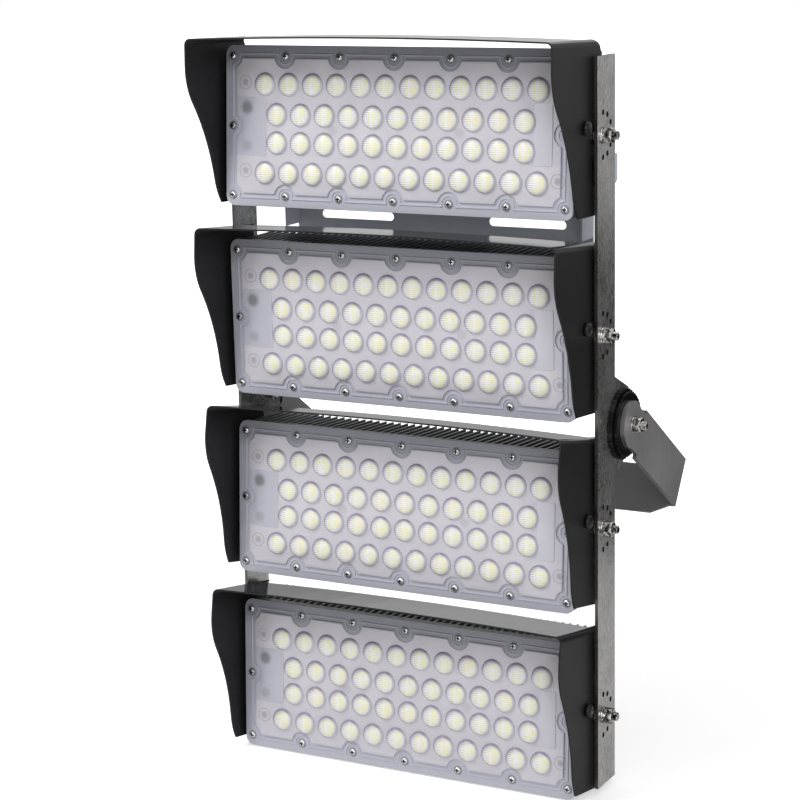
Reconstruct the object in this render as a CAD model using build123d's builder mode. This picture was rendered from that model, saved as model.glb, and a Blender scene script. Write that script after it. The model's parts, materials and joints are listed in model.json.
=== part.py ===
from build123d import *
import os
from math import cos, radians, sin

# Four-module LED floodlight head: two flat side bars carry four tilting lamp modules, each under a bent
# sheet hood, and a U-shaped yoke holds the bars at a pair of toothed index discs. Millimetres and degrees.
# +Z is up and the lamps shine towards -Y. The origin is on the flat outer face of the yoke's strap.

os.makedirs("parts", exist_ok=True)

# Module column
module_count = 4
module_gap = 29.5
module_tilts = (3.7, -0.5, 3.4, 2.7)
hood_tilts = (1.8, 5.0, 10.9, 9.9)

# Lens cover and its lenses
cover_width = 352.0
cover_height = 148.0
cover_thickness = 3.0
cover_corner = 9.0
face_to_pivot = 35.5
field_rise = 1.5
field_margin = 14.0
field_corner = 6.0
lens_pitch = 25.0
lens_end_margin = 26.5
lens_shift = 4.5
lens_row_offsets = (40.5, 12.9, -12.9, -40.5)
short_rows = (0, 1, 1, 0)
lens_field_drop = 2.0
lens_half = 11.4
lens_top_half = 7.2
lens_height = 4.6
lens_sides = 8

# Heat sink and LED board
sink_inset = 2.0
sink_base = 12.0
board_end_margin = 6.0
board_edge_margin = 13.0
board_thickness = 2.0
board_clearance = 0.5
fin_pitch = 7.7
fin_thickness = 2.0
fin_depth = 55.0

# End plates, pivot bolts and bars
end_plate_thickness = 4.0
end_plate_inset = 15.0
end_plate_back = 27.5
boss_radius = 12.0
hood_sheet = 1.5
hood_side_gap = 4.0
bar_gap = 3.0
bar_thickness = 3.0
bar_width = 40.0
bar_front_to_pivot = 12.5
bar_overhang = 68.5
bolt_radius = 4.0
bolt_run_out = 4.5
running_clearance = 0.08
face_clearance = 0.3
moving_clearance = 5.1
nut_flats = 13.0
nut_height = 10.0
index_radius = 19.6
index_hole_radius = 2.6
index_angles = (-90.0, -60.0, -30.0, 30.0, 60.0, 90.0)

# Hood, in its own frame with the pivot at the origin
hood_front = 96.0
hood_top_gap = 8.0
hood_skirt = 3.5
hood_back = 9.0
hood_brow_drop = 24.0
hood_waist_reach = 84.0
hood_waist_drop = 59.0
hood_ankle_reach = 49.5
hood_ankle_rise = 22.5
hood_toe_reach = 38.5
hood_top_back = 21.5
hood_crown = 3.0
hood_bend = 6.0
hood_back_corner = 20.0
knob_reach = 26.5
knob_rise = 7.0
knob_radius = 6.5
knob_height = 5.5

# Cross plate between the bars, its heights measured from the top module's pivot
cross_width = 309.0
cross_sheet = 2.0
cross_to_pivots = 55.5
cross_top = -22.0
cross_bottom = -125.0
cross_ear_height = 24.0
cross_tab_lap = 6.0
cross_step_gap = 9.0
cross_flange_depth = 25.0
cross_flange_top = -79.6
cross_flange_bottom = -99.4
cross_slot_length = 78.0
cross_slot_height = 8.0
cross_slot_spread = 178.0
cross_slot_z = -89.5

# Yoke and its index discs
yoke_slope = 34.0
axis_behind_pivots = 40.5
flare_reach = 33.0
flare_flat = 30.5
flare_foot = 46.0
disc_radius = 33.0
frame_disc_thickness = 5.0
yoke_disc_radius = 30.0
yoke_disc_thickness = 3.5
disc_teeth = 36
disc_tooth_depth = 1.2
yoke_sheet = 4.0
yoke_reach = 152.0
arm_width = 48.0
arm_nose_radius = 22.0
arm_neck = 40.0
arm_shoulder = 24.0
strap_width = 48.0
strap_drop = 9.0
strap_end = 8.0
strap_taper = 18.0
yoke_bend = 6.0
yoke_washer_radius = 8.0
yoke_washer_thickness = 1.6
yoke_nut_height = 7.0
centre_hole_radius = 9.0
mount_hole_radius = 6.5
mount_hole_spread = 120.0

# Sizes that follow the lens cover
module_pitch = cover_height + module_gap
lens_row_count = int((cover_width - 2 * (lens_end_margin + lens_half)) / lens_pitch) + 1
sink_width = cover_width - 2 * end_plate_thickness
sink_height = cover_height - 2 * sink_inset
board_width = sink_width - 2 * board_end_margin
board_height = sink_height - 2 * board_edge_margin
end_plate_height = cover_height - 2 * end_plate_inset
hood_top = cover_height / 2 + hood_top_gap
hood_bottom = hood_skirt - cover_height / 2
hood_brow = hood_top - hood_brow_drop
hood_waist = hood_top - hood_waist_drop
hood_ankle = hood_bottom + hood_ankle_rise

# Faces across the width, from the middle outwards
cover_half = cover_width / 2
hood_inner = cover_half + hood_side_gap
hood_outer = hood_inner + hood_sheet
bar_inner = hood_outer + bar_gap
bar_outer = bar_inner + bar_thickness
frame_disc_outer = bar_outer + frame_disc_thickness
yoke_disc_inner = frame_disc_outer + face_clearance
arm_inner = yoke_disc_inner + yoke_disc_thickness
arm_outer = arm_inner + yoke_sheet

# Depths in a module's own frame, with the pivot at the origin and the lamp face towards -Y
cover_back = face_to_pivot - cover_thickness
sink_back = cover_back - sink_base
fin_count = int((sink_width - fin_thickness) / fin_pitch) + 1
fin_half_span = (fin_pitch * (fin_count - 1) + fin_thickness) / 2

# Places in the whole part
slope_cos = cos(radians(yoke_slope))
slope_sin = sin(radians(yoke_slope))
axis_y = -yoke_reach * slope_cos + strap_drop * slope_sin
axis_z = yoke_reach * slope_sin + strap_drop * slope_cos
pivot_y = axis_y - axis_behind_pivots
pivot_heights = [axis_z + module_pitch * ((module_count - 1) / 2 - n) for n in range(module_count)]


def side_plane(x):
    """The plane at x whose own x runs along +Y and own y along +Z."""
    return Plane(origin=(x, 0, 0), x_dir=(0, 1, 0), z_dir=(1, 0, 0))


def frame_plane(x):
    """A side plane with its origin on the yoke axis."""
    return Plane(origin=(x, axis_y, axis_z), x_dir=(0, 1, 0), z_dir=(1, 0, 0))


def yoke_plane(x):
    """A side plane whose own x runs along the yoke's arms, away from the lamps."""
    return Plane(origin=(x, 0, 0), x_dir=(0, slope_cos, -slope_sin), z_dir=(1, 0, 0))


def front_plane(depth):
    """The plane facing the lamps' side, the given depth in front of the origin."""
    return Plane.XZ.offset(depth)


def write(piece, name):
    piece.label = name
    export_step(piece, f"parts/{name}.step")


def place(piece, number, tilt):
    """The piece moved to its module's pivot, its top leaning back by the tilt."""
    return piece.moved(Location((0, pivot_y, pivot_heights[number]), (-tilt, 0, 0)))


# One lens: a blunt faceted dome, cut to shape by the same trapezium turned about its axis
with BuildPart() as lens:
    for turn in range(lens_sides // 2):
        with BuildSketch(Plane.XZ.rotated((0, 0, 360 * turn / lens_sides))):
            with BuildLine():
                Polyline((-lens_half, 0), (lens_half, 0), (lens_top_half, lens_height),
                         (-lens_top_half, lens_height), close=True)
            make_face()
        extrude(amount=2 * lens_half, both=True, mode=Mode.INTERSECT if turn else Mode.ADD)

# Lens cover: a plate with rounded corners, a raised field inside its edge, and the lenses
lens_points = []
for row_offset, left_out in zip(lens_row_offsets, short_rows):
    row_count = lens_row_count - left_out
    for number in range(row_count):
        across = lens_shift + (number - (row_count - 1) / 2) * lens_pitch
        lens_points.append((across, row_offset - lens_field_drop))

with BuildPart() as lens_cover:
    with BuildSketch(front_plane(cover_back)):
        RectangleRounded(cover_width, cover_height, cover_corner)
    extrude(amount=cover_thickness)
    with BuildSketch(front_plane(face_to_pivot)):
        RectangleRounded(cover_width - 2 * field_margin, cover_height - 2 * field_margin, field_corner)
    extrude(amount=field_rise)
    with Locations(front_plane(face_to_pivot + field_rise)):
        with Locations(*lens_points):
            add(lens.part)

# LED board, in a pocket of the heat sink's front
with BuildPart() as led_board:
    with BuildSketch(front_plane(cover_back - board_thickness)):
        Rectangle(board_width, board_height)
    extrude(amount=board_thickness)

# Heat sink: a thick base with upright fins behind it
with BuildPart() as heat_sink:
    with BuildSketch(front_plane(sink_back)):
        Rectangle(sink_width, sink_height)
    extrude(amount=sink_base)
    with BuildSketch(front_plane(cover_back - board_thickness)):
        Rectangle(board_width + 2 * board_clearance, board_height + 2 * board_clearance)
    extrude(amount=board_thickness, mode=Mode.SUBTRACT)
    with BuildSketch(front_plane(sink_back)):
        with GridLocations(fin_pitch, 0, fin_count, 1):
            Rectangle(fin_thickness, sink_height)
    extrude(amount=-fin_depth)

boss_end = hood_inner - face_clearance

# End plates: they close the heat sink's ends and carry a boss at the pivot
with BuildPart() as end_plates:
    with BuildSketch(side_plane(sink_width / 2)):
        with Locations(((end_plate_back - cover_back) / 2, 0)):
            Rectangle(end_plate_back + cover_back, end_plate_height)
    extrude(amount=end_plate_thickness)
    with BuildSketch(side_plane(sink_width / 2)):
        Circle(boss_radius)
    extrude(amount=boss_end - sink_width / 2)
    mirror(about=Plane.YZ)

# Pivot bolts: each runs from the end plate's boss through the hood and the side bar to its nut
nut_seat = bar_outer + face_clearance
nut_end = nut_seat + nut_height
with BuildPart() as pivot_bolts:
    with BuildSketch(side_plane(boss_end)):
        Circle(bolt_radius)
    extrude(amount=nut_end + bolt_run_out - boss_end)
    with BuildSketch(side_plane(nut_seat)):
        RegularPolygon(nut_flats / 2, 6, major_radius=False, rotation=30)
    extrude(amount=nut_height)
    mirror(about=Plane.YZ)

# Hood: one bent sheet, with a crowned top and two side plates whose front edge runs in an S
with BuildPart() as hood:
    with BuildSketch(front_plane(hood_front)):
        with BuildLine():
            Line((-hood_outer, hood_bottom), (-hood_outer, hood_top))
            ThreePointArc((-hood_outer, hood_top), (0, hood_top + hood_crown), (hood_outer, hood_top))
            Line((hood_outer, hood_top), (hood_outer, hood_bottom))
            Line((hood_outer, hood_bottom), (-hood_outer, hood_bottom))
        make_face()
        fillet(vertices().group_by(Axis.Y)[-1], hood_bend)
    extrude(amount=-hood_front - hood_back)
    with BuildSketch(front_plane(hood_front)):
        with BuildLine():
            inner_top = hood_top - hood_sheet
            Line((-hood_inner, hood_bottom), (-hood_inner, inner_top))
            ThreePointArc((-hood_inner, inner_top), (0, inner_top + hood_crown), (hood_inner, inner_top))
            Line((hood_inner, inner_top), (hood_inner, hood_bottom))
            Line((hood_inner, hood_bottom), (-hood_inner, hood_bottom))
        make_face()
        fillet(vertices().group_by(Axis.Y)[-1], hood_bend - hood_sheet)
    extrude(amount=-hood_front - hood_back, mode=Mode.SUBTRACT)
    with BuildSketch(side_plane(-hood_outer)):
        with BuildLine():
            brow = TangentArc((-hood_front, hood_brow), (-hood_waist_reach, hood_waist), tangent=(0, -1))
            hollow = TangentArc(brow @ 1, (-hood_ankle_reach, hood_ankle), tangent=brow % 1)
            toe = TangentArc(hollow @ 1, (-hood_toe_reach, hood_bottom), tangent=hollow % 1)
            Polyline(toe @ 1, (hood_back, hood_bottom), (hood_back, hood_top + hood_crown),
                     (-hood_front, hood_top + hood_crown), brow @ 0)
        make_face()
        fillet(vertices().group_by(Axis.X)[-1].sort_by(Axis.Y)[-1], hood_back_corner)
    extrude(amount=2 * hood_outer, mode=Mode.INTERSECT)
    with BuildSketch(front_plane(hood_top_back)):
        with Locations((0, hood_top)):
            Rectangle(2 * (hood_outer - hood_bend), 3 * hood_bend)
    extrude(amount=-hood_top_back - hood_back, mode=Mode.SUBTRACT)
    with BuildSketch(side_plane(-hood_outer)):
        Circle(bolt_radius + running_clearance)
    extrude(amount=2 * hood_outer, mode=Mode.SUBTRACT)

# Hood knobs: a round head on the outside of each side plate
with BuildPart() as hood_knobs:
    with BuildSketch(side_plane(hood_outer)):
        with Locations((-knob_reach, knob_rise)):
            Circle(knob_radius)
    extrude(amount=knob_height)
    mirror(about=Plane.YZ)

for number in range(module_count):
    name = f"module_{number + 1}"
    tilt = module_tilts[number]
    write(place(lens_cover.part, number, tilt), f"{name}_lens_cover")
    write(place(led_board.part, number, tilt), f"{name}_led_board")
    write(place(heat_sink.part, number, tilt), f"{name}_heat_sink")
    write(place(end_plates.part, number, tilt), f"{name}_end_plates")
    write(place(pivot_bolts.part, number, tilt), f"{name}_pivot_bolts")
    write(place(hood.part, number, hood_tilts[number]), f"hood_{number + 1}")
    write(place(hood_knobs.part, number, hood_tilts[number]), f"hood_{number + 1}_knobs")

# Side bars: flat bars widened behind at mid height, where the yoke's discs sit
bar_half = module_pitch * (module_count - 1) / 2 + bar_overhang
bar_front = -axis_behind_pivots - bar_front_to_pivot
bar_back = bar_front + bar_width
pivot_points = [(-axis_behind_pivots, z - axis_z) for z in pivot_heights]
index_points = []
for y, z in pivot_points:
    for angle in index_angles:
        index_points.append((y + index_radius * cos(radians(angle)), z + index_radius * sin(radians(angle))))

with BuildPart() as side_bar:
    with BuildSketch(frame_plane(bar_inner)):
        with BuildLine():
            Polyline((bar_front, -bar_half), (bar_back, -bar_half), (bar_back, -flare_foot),
                     (bar_back + flare_reach, -flare_flat), (bar_back + flare_reach, flare_flat),
                     (bar_back, flare_foot), (bar_back, bar_half), (bar_front, bar_half), close=True)
        make_face()
        Circle(bolt_radius + running_clearance, mode=Mode.SUBTRACT)
        with Locations(*pivot_points):
            Circle(bolt_radius + running_clearance, mode=Mode.SUBTRACT)
        with Locations(*index_points):
            Circle(index_hole_radius, mode=Mode.SUBTRACT)
    extrude(amount=bar_thickness)
write(side_bar.part, "side_bar_right")
write(side_bar.part.mirror(Plane.YZ), "side_bar_left")


# Cross plate: a slotted sheet behind the modules with a flange at each end, and a stepped ear to each bar
cross_z = pivot_heights[0]
cross_front = pivot_y + cross_to_pivots
ear_z = cross_z + cross_top - cross_ear_height / 2
ear_inner = fin_half_span + moving_clearance
ear_outer = ear_inner + cross_sheet
step_front = pivot_y + end_plate_back + cross_step_gap
step_back = step_front + cross_sheet
tab_front = pivot_y + bar_width - bar_front_to_pivot - cross_tab_lap
with BuildPart() as cross_plate:
    with BuildSketch(front_plane(-cross_front)):
        with Locations((0, cross_z + (cross_top + cross_bottom) / 2)):
            Rectangle(cross_width, cross_top - cross_bottom)
        with Locations((0, ear_z)):
            Rectangle(2 * ear_outer, cross_ear_height)
        with Locations((-cross_slot_spread / 2, cross_z + cross_slot_z),
                       (cross_slot_spread / 2, cross_z + cross_slot_z)):
            SlotOverall(cross_slot_length, cross_slot_height, mode=Mode.SUBTRACT)
    extrude(amount=-cross_sheet)
    with BuildSketch(side_plane(ear_inner)):
        with Locations(((step_front + cross_front) / 2, ear_z)):
            Rectangle(cross_front - step_front, cross_ear_height)
    extrude(amount=cross_sheet)
    with BuildSketch(front_plane(-step_front)):
        with Locations(((ear_inner + bar_inner) / 2, ear_z)):
            Rectangle(bar_inner - ear_inner, cross_ear_height)
    extrude(amount=-cross_sheet)
    with BuildSketch(side_plane(bar_inner - cross_sheet)):
        with Locations(((tab_front + step_back) / 2, ear_z)):
            Rectangle(step_back - tab_front, cross_ear_height)
    extrude(amount=cross_sheet)
    with BuildSketch(side_plane(cross_width / 2 - cross_sheet)):
        with Locations((cross_front - cross_flange_depth / 2,
                        cross_z + (cross_flange_top + cross_flange_bottom) / 2)):
            Rectangle(cross_flange_depth, cross_flange_top - cross_flange_bottom)
    extrude(amount=cross_sheet)
    mirror(about=Plane.YZ)
write(cross_plate.part, "cross_plate")


def index_disc(start, radius, thickness, bore):
    """A disc on the yoke axis with teeth round its rim."""
    rim = []
    for number in range(2 * disc_teeth):
        angle = radians(180 * number / disc_teeth)
        reach = radius - disc_tooth_depth * (number % 2)
        rim.append((reach * cos(angle), reach * sin(angle)))
    with BuildPart() as disc:
        with BuildSketch(frame_plane(start)):
            with BuildLine():
                Polyline(*rim, close=True)
            make_face()
            Circle(bore, mode=Mode.SUBTRACT)
        extrude(amount=thickness)
    return disc.part


frame_disc = index_disc(bar_outer, disc_radius, frame_disc_thickness, bolt_radius + running_clearance)
yoke_disc = index_disc(yoke_disc_inner, yoke_disc_radius, yoke_disc_thickness, bolt_radius)
write(frame_disc, "frame_disc_right")
write(frame_disc.mirror(Plane.YZ), "frame_disc_left")
write(yoke_disc, "yoke_disc_right")
write(yoke_disc.mirror(Plane.YZ), "yoke_disc_left")

# Yoke bracket: two arms and a wider strap, bent from one sheet
arm_low = strap_drop - arm_width / 2
arm_high = strap_drop + arm_width / 2
neck_low = strap_drop - arm_neck / 2
neck_high = strap_drop + arm_neck / 2
shoulder = -yoke_reach + arm_shoulder
with BuildPart() as yoke_bracket:
    with BuildSketch(yoke_plane(arm_inner)):
        with BuildLine():
            Polyline((-yoke_reach, neck_low), (shoulder, neck_low), (shoulder, arm_low), (0, arm_low),
                     (0, arm_high), (shoulder, arm_high), (shoulder, neck_high), (-yoke_reach, neck_high),
                     close=True)
        make_face()
        with Locations((-yoke_reach, strap_drop)):
            Circle(arm_nose_radius)
            Circle(bolt_radius, mode=Mode.SUBTRACT)
    extrude(amount=yoke_sheet)
    mirror(about=Plane.YZ)
    with BuildSketch(Plane(origin=(0, 0, 0), x_dir=(1, 0, 0), z_dir=(0, -slope_cos, slope_sin))):
        with BuildLine():
            half = strap_width / 2
            end_x = arm_outer - strap_end
            taper_x = end_x - strap_taper
            Polyline((-arm_outer, arm_low), (-end_x, arm_low), (-taper_x, -half), (taper_x, -half),
                     (end_x, arm_low), (arm_outer, arm_low), (arm_outer, arm_high), (end_x, arm_high),
                     (taper_x, half), (-taper_x, half), (-end_x, arm_high), (-arm_outer, arm_high),
                     close=True)
        make_face()
        Circle(centre_hole_radius, mode=Mode.SUBTRACT)
        with Locations((-mount_hole_spread / 2, 0), (mount_hole_spread / 2, 0)):
            Circle(mount_hole_radius, mode=Mode.SUBTRACT)
    extrude(amount=yoke_sheet)
    fold_axis = Axis((0, 0, 0), (0, slope_sin, slope_cos))
    edge_groups = yoke_bracket.edges().filter_by(fold_axis).group_by(Axis.X)
    outer_corners = [edge_groups[0].sort_by(Axis.Y)[-1], edge_groups[-1].sort_by(Axis.Y)[-1]]
    fillet(outer_corners, yoke_bend)
write(yoke_bracket.part, "yoke_bracket")

# Yoke bolts: a head inside the bar, a shaft through bar, discs and arm, a washer and a nut outside
head_outer = bar_inner - face_clearance
yoke_nut_seat = arm_outer + yoke_washer_thickness
with BuildPart() as yoke_bolts:
    with BuildSketch(frame_plane(head_outer - yoke_nut_height)):
        RegularPolygon(nut_flats / 2, 6, major_radius=False)
    extrude(amount=yoke_nut_height)
    with BuildSketch(frame_plane(head_outer)):
        Circle(bolt_radius)
    extrude(amount=yoke_nut_seat + yoke_nut_height + bolt_run_out - head_outer)
    with BuildSketch(frame_plane(arm_outer)):
        Circle(yoke_washer_radius)
    extrude(amount=yoke_washer_thickness)
    with BuildSketch(frame_plane(yoke_nut_seat)):
        RegularPolygon(nut_flats / 2, 6, major_radius=False, rotation=15)
    extrude(amount=yoke_nut_height)
    mirror(about=Plane.YZ)
write(yoke_bolts.part, "yoke_bolts")
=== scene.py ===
import json
import math

import bmesh
import bpy
from bpy.props import FloatProperty, FloatVectorProperty, IntProperty, PointerProperty
from bpy.types import Operator, Panel, PropertyGroup
from mathutils import Matrix, Vector


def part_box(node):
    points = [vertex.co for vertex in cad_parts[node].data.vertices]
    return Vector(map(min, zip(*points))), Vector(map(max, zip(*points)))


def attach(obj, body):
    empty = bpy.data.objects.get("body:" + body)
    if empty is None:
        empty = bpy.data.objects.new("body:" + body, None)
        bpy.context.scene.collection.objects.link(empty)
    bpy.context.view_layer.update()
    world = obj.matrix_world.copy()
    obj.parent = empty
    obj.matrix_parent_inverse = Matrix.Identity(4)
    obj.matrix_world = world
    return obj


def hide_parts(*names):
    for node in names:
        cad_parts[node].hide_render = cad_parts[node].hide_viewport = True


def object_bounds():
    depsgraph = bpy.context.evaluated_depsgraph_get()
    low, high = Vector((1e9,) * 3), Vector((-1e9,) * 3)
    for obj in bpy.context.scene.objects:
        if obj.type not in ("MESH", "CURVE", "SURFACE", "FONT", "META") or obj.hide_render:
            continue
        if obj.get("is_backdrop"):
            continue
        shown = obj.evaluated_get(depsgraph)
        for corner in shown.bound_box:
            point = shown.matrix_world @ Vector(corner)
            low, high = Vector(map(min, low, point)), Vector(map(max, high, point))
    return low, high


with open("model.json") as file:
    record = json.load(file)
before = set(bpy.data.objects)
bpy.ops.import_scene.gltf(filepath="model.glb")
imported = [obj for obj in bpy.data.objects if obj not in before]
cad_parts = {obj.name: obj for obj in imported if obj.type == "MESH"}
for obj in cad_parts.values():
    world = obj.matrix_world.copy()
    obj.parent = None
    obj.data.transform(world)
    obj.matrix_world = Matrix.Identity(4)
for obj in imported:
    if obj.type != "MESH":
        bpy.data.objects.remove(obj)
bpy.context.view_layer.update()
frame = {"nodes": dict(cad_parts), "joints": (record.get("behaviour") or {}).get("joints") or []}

bl_info = {
    "name": "LED floodlight head",
    "version": (1, 0, 0),
    "blender": (4, 5, 0),
    "location": "View3D > Sidebar > Floodlight",
    "description": "Dresses a four-module LED floodlight head with lenses, hardware, finishes and a studio",
    "category": "Object",
}

JOINTS = {joint["name"]: joint for joint in frame["joints"]}
MODULES = range(1, 5)

# Degrees that the top of each module, and of each hood, leans back
MODULE_LEANS = (3.7, -0.5, 3.4, 2.7)
HOOD_LEANS = (1.8, 5.0, 10.9, 9.9)

# How far the yoke's arms fall towards the back
YOKE_SLOPE = math.radians(34.0)

# The camera that fits the photograph's corners
CAMERA_PLACE = (0.9530, -1.9933, 0.5529)
CAMERA_TURN = (77.816, 1.111, 27.681)
CAMERA_LENS = 102.0

# Marks that show through a cover: middle, radius, darkness, and the radius of a ring round it or 0
COVER_MARKS = (
    ((-0.152, 0.017), 0.0085, 0.8, 0.0),
    ((-0.152, -0.018), 0.007, 0.35, 0.0),
    ((-0.154, 0.040), 0.0045, 0.5, 0.0062),
    ((-0.154, -0.041), 0.0045, 0.45, 0.0062),
    ((0.1615, -0.040), 0.0045, 0.5, 0.0062),
    ((-0.062, -0.002), 0.007, 0.2, 0.0),
    ((0.066, -0.001), 0.007, 0.2, 0.0),
)

WHITE = (1.0, 1.0, 1.0, 1.0)
X_TO_Y = Matrix.Rotation(math.radians(90), 4, "Z")
HALF_TURN = Matrix.Rotation(math.pi, 4, "Z")


def place_of(number, leans):
    """Takes a point of a module's or hood's own frame, its pivot at the origin, to its place on the head."""
    pivot = Vector(JOINTS[f"module_{number}_tilt"]["pos_m"])
    return Matrix.Translation(pivot) @ Matrix.Rotation(math.radians(-leans[number - 1]), 4, "X")


class Graph:
    """A node tree, with short ways to add nodes and links to it."""

    def __init__(self, tree):
        self.tree = tree

    def add(self, kind, inputs=(), **settings):
        """A new node with its settings, and its inputs fed by name or number."""
        node = self.tree.nodes.new(kind)
        for name, value in settings.items():
            setattr(node, name, value)
        self.fill(node, inputs)
        return node

    def fill(self, node, inputs):
        """Links each given socket to the node's input, or sets the input's plain value."""
        for name, value in dict(inputs).items():
            if isinstance(value, bpy.types.NodeSocket):
                self.tree.links.new(value, node.inputs[name])
            else:
                node.inputs[name].default_value = value

    def math(self, operation, first, second=0.0):
        return self.add("ShaderNodeMath", {0: first, 1: second}, operation=operation).outputs[0]

    def times(self, first, second):
        return self.math("MULTIPLY", first, second)

    def minus(self, first, second):
        return self.math("SUBTRACT", first, second)

    def larger(self, first, second):
        return self.math("MAXIMUM", first, second)

    def absolute(self, value):
        return self.math("ABSOLUTE", value)

    def length(self, first, second):
        """The length of a flat step given by its two parts."""
        return self.math("SQRT", self.math("ADD", self.times(first, first), self.times(second, second)))

    def fade(self, value, low, high, start=0.0, end=1.0):
        """A smooth step from start at low to end at high."""
        return self.add("ShaderNodeMapRange", {
            "Value": value, "From Min": low, "From Max": high, "To Min": start, "To Max": end,
        }, interpolation_type="SMOOTHSTEP").outputs["Result"]

    def noise(self, vector, scale, detail=3.0, roughness=0.5):
        return self.add("ShaderNodeTexNoise", {
            "Vector": vector, "Scale": scale, "Detail": detail, "Roughness": roughness}).outputs["Fac"]

    def stretched(self, vector, scale):
        return self.add("ShaderNodeMapping", {"Vector": vector, "Scale": scale}).outputs["Vector"]

    def mixed(self, factor, first, second):
        """A colour between two; inputs 6 and 7 and output 2 are the node's colour sockets."""
        return self.add("ShaderNodeMix", {"Factor": factor, 6: first, 7: second}, data_type="RGBA").outputs[2]

    def bumped(self, height, strength, distance):
        return self.add("ShaderNodeBump", {
            "Height": height, "Strength": strength, "Distance": distance}).outputs["Normal"]

    def object_point(self):
        return self.add("ShaderNodeTexCoord").outputs["Object"]

    def stored(self, name, output="Fac"):
        return self.add("ShaderNodeAttribute", attribute_name=name).outputs[output]

    def parts(self, vector):
        return tuple(self.add("ShaderNodeSeparateXYZ", {0: vector}).outputs)

    def combined(self, x=0.0, y=0.0, z=0.0):
        return self.add("ShaderNodeCombineXYZ", {0: x, 1: y, 2: z}).outputs[0]

    def facing(self, direction):
        """How far the surface faces a direction: 1 towards it, -1 away from it."""
        normal = self.add("ShaderNodeNewGeometry").outputs["Normal"]
        return self.add("ShaderNodeVectorMath", {0: normal, 1: direction},
                        operation="DOT_PRODUCT").outputs["Value"]


def shade(colour, level=1.0):
    """A colour with its alpha, made lighter or darker."""
    return (colour[0] * level, colour[1] * level, colour[2] * level, 1.0)


def finish(name, metallic=0.0, roughness=0.5, coat=0.0):
    """A new material, as itself, its graph and its shader."""
    made = bpy.data.materials.new(name)
    made.use_nodes = True
    graph = Graph(made.node_tree)
    made.node_tree.nodes.clear()
    shader = graph.add("ShaderNodeBsdfPrincipled", {
        "Metallic": metallic, "Roughness": roughness, "Coat Weight": coat})
    graph.add("ShaderNodeOutputMaterial", {"Surface": shader.outputs[0]})
    return made, graph, shader


def bar_steel(colour, contrast=0.30, roughness=0.28):
    """Steel sheet with specks drawn out along its grain, and painted shade that darkens its edges and the
    walls of its holes.
    """
    made, graph, shader = finish("Bar steel", metallic=0.9)
    point = graph.object_point()
    specks = graph.noise(graph.stretched(point, (1.0, 1.0, 0.3)), 620.0, detail=3.0, roughness=0.75)
    mottle = graph.noise(point, 38.0, detail=4.0, roughness=0.6)
    mix = graph.math("ADD", graph.times(specks, 0.7), graph.times(mottle, 0.3))
    tone = graph.fade(mix, 0.32, 0.68)
    tone = graph.mixed(tone, shade(colour, 1 - contrast), shade(colour, 1 + contrast))
    # Painted shade: faces that don't face sideways, such as the hole walls and the front and back edges, are
    # darkened
    edge = graph.fade(graph.absolute(graph.facing((1.0, 0.0, 0.0))), 0.3, 0.6, 1.0, 0.0)
    graph.fill(shader, {
        "Base Color": graph.mixed(edge, tone, shade(colour, 0.25)),
        "Roughness": graph.fade(mix, 0.3, 0.7, roughness - 0.05, roughness + 0.08),
        "Normal": graph.bumped(specks, 0.06, 0.0002)})
    return made


def coated(name, colour, roughness, grit=0.12, level=0.5):
    """Powder-coated or painted metal with a fine orange peel and slight change of tone."""
    made, graph, shader = finish(name, roughness=roughness)
    point = graph.object_point()
    peel = graph.noise(point, 900.0, detail=2.0)
    cloud = graph.noise(point, 14.0, detail=4.0)
    graph.fill(shader, {
        "Specular IOR Level": level,
        "Base Color": graph.mixed(cloud, shade(colour, 0.85), shade(colour, 1.15)),
        "Roughness": graph.fade(cloud, 0.3, 0.7, roughness - 0.05, roughness + 0.06),
        "Normal": graph.bumped(peel, grit, 0.0001)})
    return made


def yoke_paint(colour):
    """Grey satin paint with a faint grain along the arms, dark cut edges, and painted shade that darkens the
    inner face of the strap.
    """
    made, graph, shader = finish("Yoke paint", metallic=0.6)
    point = graph.object_point()
    grain = graph.noise(graph.stretched(point, (1.0, 0.5, 0.15)), 300.0, detail=3.0, roughness=0.6)
    cloud = graph.noise(point, 12.0, detail=3.0)
    mix = graph.math("ADD", graph.times(grain, 0.5), graph.times(cloud, 0.5))
    tone = graph.mixed(graph.fade(mix, 0.3, 0.7), shade(colour, 0.94), shade(colour, 1.06))
    sine, cosine = math.sin(YOKE_SLOPE), math.cos(YOKE_SLOPE)
    edge = graph.fade(graph.absolute(graph.facing((0.0, sine, cosine))), 0.6, 0.85)
    tone = graph.mixed(edge, tone, shade(colour, 0.3))
    # Painted shade: the strap's inner face, turned towards the head, is darkened
    painted_strap_shade = graph.fade(graph.facing((0.0, -cosine, sine)), 0.6, 0.85)
    graph.fill(shader, {
        "Base Color": graph.mixed(painted_strap_shade, tone, shade(colour, 0.62)),
        "Roughness": graph.fade(cloud, 0.3, 0.7, 0.36, 0.46),
        "Normal": graph.bumped(grain, 0.03, 0.0002)})
    return made


def hood_coating(colour):
    """Black coating that is satin on the side plates and glossy on the top, where a lighter base colour is a
    painted reflection.
    """
    made, graph, shader = finish("Hood coating")
    point = graph.object_point()
    top = graph.stored("hood_top")
    cloud = graph.noise(point, 9.0, detail=4.0)
    side = graph.mixed(cloud, shade(colour, 0.8), shade(colour, 1.25))
    # Painted reflection: the top's base colour is a lighter, bluer grey than the sides'
    painted_top_sheen = (colour[0] * 2.6, colour[1] * 2.8, colour[2] * 3.3, 1.0)

    def from_side_to_top(side_value, top_value):
        return graph.fade(top, 0.2, 0.8, side_value, top_value)

    graph.fill(shader, {
        "Base Color": graph.mixed(top, side, painted_top_sheen),
        "Roughness": from_side_to_top(0.45, 0.08),
        "Specular IOR Level": from_side_to_top(0.28, 0.5),
        "IOR": from_side_to_top(1.5, 2.1),
        "Normal": graph.bumped(graph.noise(point, 900.0, detail=2.0), 0.04, 0.0001)})
    return made


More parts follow.
